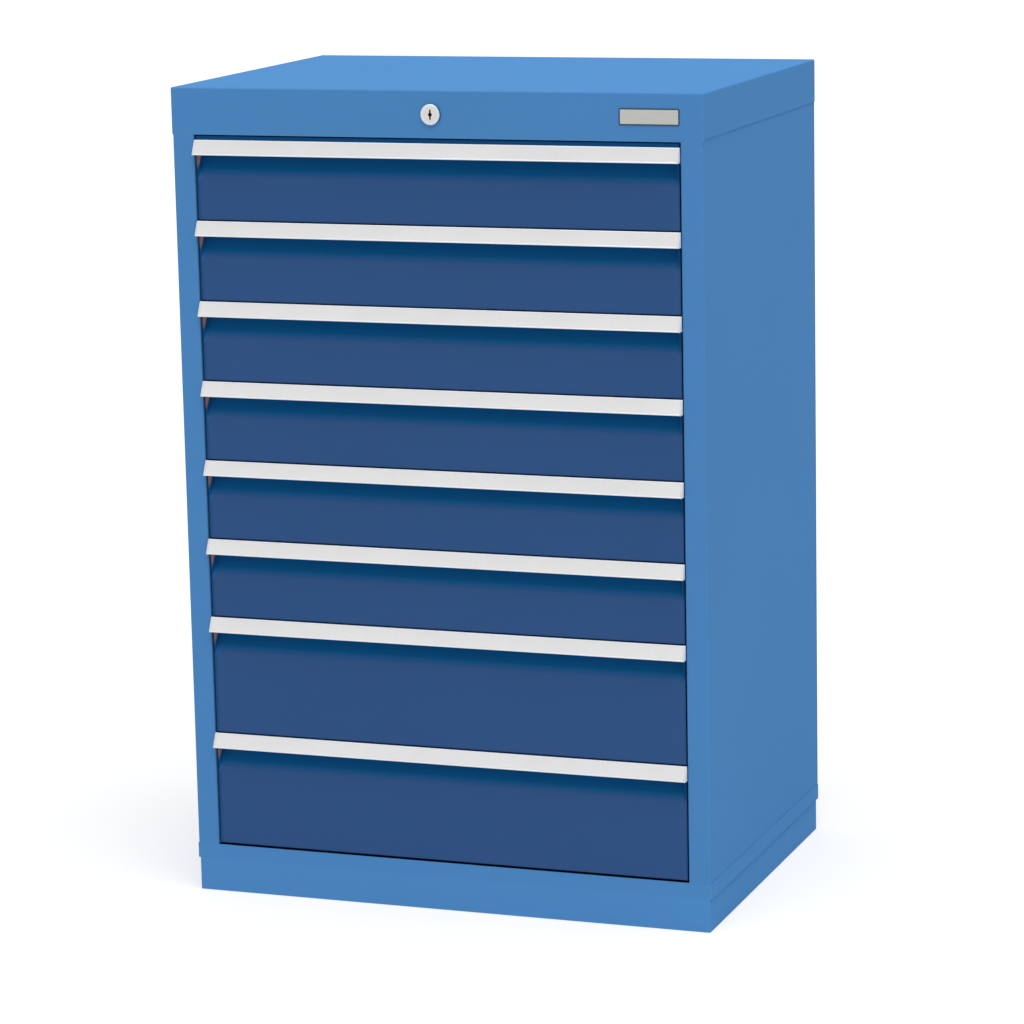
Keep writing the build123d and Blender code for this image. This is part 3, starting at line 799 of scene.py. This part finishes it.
label_card, tree, shader, coordinates = new_material("label_card")
fibre = add_noise(tree, coordinates, fibre_scale, detail=4.0, roughness=0.6)
cloud = add_noise(tree, coordinates, card_cloud_scale)
mottle = widen(tree, add_math(tree, "MULTIPLY", add_math(tree, "ADD", fibre, cloud), 0.5))
card, first_card_shade = (mix_colours(tree, mottle, *tones) for tones in (card_tones, first_card_shade_tones))
is_first = add_math(tree, "GREATER_THAN", split(tree, coordinates)["Z"], first_top - low_pitch / 2)
set_shader(
    tree,
    shader,
    Base_Color=mix_colours(tree, is_first, card, first_card_shade),
    Roughness=widen(tree, fibre, 0.55, 0.65),
    Coat_Weight=0.4,
    Coat_Roughness=0.25,
    Specular_IOR_Level=0.3,
)
add_bump(tree, shader, fibre, card_relief)
print("cards", label_card.name)

# %% Strips
grip_top_proud = 0.0005
grip_proud = 0.009
grip_lip = 0.0012
channel_margin = 0.0010
channel_depth = 0.0006
card_thickness = 0.0005
card_play = 0.00015
card_end_play = 0.0002
card_corner = 0.0012
card_ease = 0.00012
sideways = Vector((1, 0, 0))

front_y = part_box("side_panel_left")[0].y
for name in drawer_names:
    low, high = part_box(f"{name}_grip")
    top_edge = Vector((0, front_y - grip_top_proud, high.z))
    low_edge = Vector((0, front_y - grip_proud, low.z + grip_lip))
    slope = low_edge - top_edge
    inward = Vector((0, -slope.z, slope.y)).normalized()
    card_height = slope.length - 2 * (channel_margin + card_play)
    centre = (top_edge + low_edge) / 2 + inward * (channel_depth - card_thickness / 2)
    lean = -atan2(-slope.y, -slope.z)
    bpy.ops.mesh.primitive_cube_add(
        size=1,
        location=centre,
        rotation=(lean, 0, 0),
        scale=(high.x - low.x - 2 * card_end_play, card_thickness, card_height),
    )
    apply_place()
    bpy.ops.object.mode_set(mode="EDIT")
    pick("EDGE", lambda edge: runs_along(edge, inward))
    bpy.ops.mesh.bevel(offset=card_corner, segments=3, affect="EDGES")
    pick("EDGE", lambda edge: runs_along(edge, sideways) and (middle_of(edge) - centre).dot(inward) < 0)
    bpy.ops.mesh.bevel(offset=card_ease, segments=2, affect="EDGES")
    bpy.ops.object.mode_set(mode="OBJECT")
    settle(f"{name}_label_strip", name, label_card)
print("label strips", len(drawer_names), "of height", round(card_height, 5))

# %% [markdown]
# ## Screws and rivets
# Each front is screwed to its tray from behind, through the ears of the tray's front wall, and each tray is
# riveted to its two rails. One pan-head screw and one rivet are modelled: a short cylinder with its rim
# bevelled to a dome, and for the screw a cross cut in by a boolean modifier. Copies of each are placed and
# joined, so that every drawer has one piece of screws and one of rivets.

# %% Pan-head screw and rivet
screw_radius = 0.003
screw_height = 0.002
screw_rim = 0.0009
recess_length = 0.0036
recess_width = 0.0009
recess_depth = 0.0011
rivet_radius = 0.0032
rivet_height = 0.0012
rivet_rim = 0.0011
round_steps = 20
level_slack = 1e-6


def domed_head(radius, height, rim, segments):
    """A short cylinder on the origin that rises along +Z, with the rim of its top bevelled to a dome."""
    middle = (0, 0, height / 2)
    bpy.ops.mesh.primitive_cylinder_add(vertices=round_steps, radius=radius, depth=height, location=middle)
    apply_place()
    bpy.ops.object.mode_set(mode="EDIT")
    pick("EDGE", lambda edge: all(abs(corner.co.z - height) < level_slack for corner in edge.verts))
    bpy.ops.mesh.bevel(offset=rim, segments=segments, affect="EDGES")
    bpy.ops.object.mode_set(mode="OBJECT")
    return bpy.context.object


screw = domed_head(screw_radius, screw_height, screw_rim, segments=3)
for arm in ((recess_length, recess_width), (recess_width, recess_length)):
    bpy.ops.object.select_all(action="DESELECT")
    bpy.ops.mesh.primitive_cube_add(size=1, location=(0, 0, screw_height), scale=(*arm, 2 * recess_depth))
    apply_place()
    cutter = bpy.context.object
    bpy.context.view_layer.objects.active = screw
    cut = screw.modifiers.new("recess", "BOOLEAN")
    cut.operation = "DIFFERENCE"
    cut.solver = "EXACT"
    cut.object = cutter
    bpy.ops.object.modifier_apply(modifier=cut.name)
    bpy.data.objects.remove(cutter)
bpy.ops.object.select_all(action="DESELECT")
rivet = domed_head(rivet_radius, rivet_height, rivet_rim, segments=4)
bpy.ops.object.select_all(action="DESELECT")
print("screw faces", len(screw.data.polygons), "rivet faces", len(rivet.data.polygons))

# %% Helper for copies that are joined
smooth_angle = radians(35)


def place_copies(master, places, name, body, material):
    """Copies the master to each place and direction of its top, and joins the copies to one piece."""
    copies = []
    for place, direction in places:
        copy = master.copy()
        copy.data = master.data.copy()
        bpy.context.collection.objects.link(copy)
        copy.location = place
        copy.rotation_mode = "QUATERNION"
        copy.rotation_quaternion = Vector(direction).to_track_quat("Z", "Y")
        copies.append(copy)
    bpy.ops.object.select_all(action="DESELECT")
    for copy in copies:
        copy.select_set(True)
    bpy.context.view_layer.objects.active = copies[0]
    bpy.ops.object.join()
    bpy.ops.object.shade_smooth_by_angle(angle=smooth_angle)
    settle(name, body, material)


print("helper", place_copies.__name__)

# %% Screws and rivets of each drawer
screw_inset = 0.0050
wall_thickness = 0.00125
rail_depth = 0.009
rivet_shares = (0.08, 0.5, 0.92)

for name in drawer_names:
    front_low, front_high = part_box(f"{name}_front")
    tray_low, tray_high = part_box(f"{name}_tray")
    rail_low, rail_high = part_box(f"{name}_rails")
    wall_y = front_high.y + wall_thickness
    screw_places = [
        ((side * (front_high.x - screw_inset), wall_y, z), (0, 1, 0))
        for side in (-1, 1)
        for z in (front_low.z + screw_inset, front_high.z - screw_inset)
    ]
    place_copies(screw, screw_places, f"{name}_front_screws", name, zinc_steel)
    inner_x = rail_low.x + rail_depth + wall_thickness
    rail_z = (rail_low.z + rail_high.z) / 2
    rivet_places = [
        ((side * -inner_x, tray_low.y + share * (tray_high.y - tray_low.y), rail_z), (-side, 0, 0))
        for side in (-1, 1)
        for share in rivet_shares
    ]
    place_copies(rivet, rivet_places, f"{name}_rail_rivets", name, zinc_steel)
bpy.data.objects.remove(screw)
bpy.data.objects.remove(rivet)
print("screws and rivets on", len(drawer_names), "drawers")
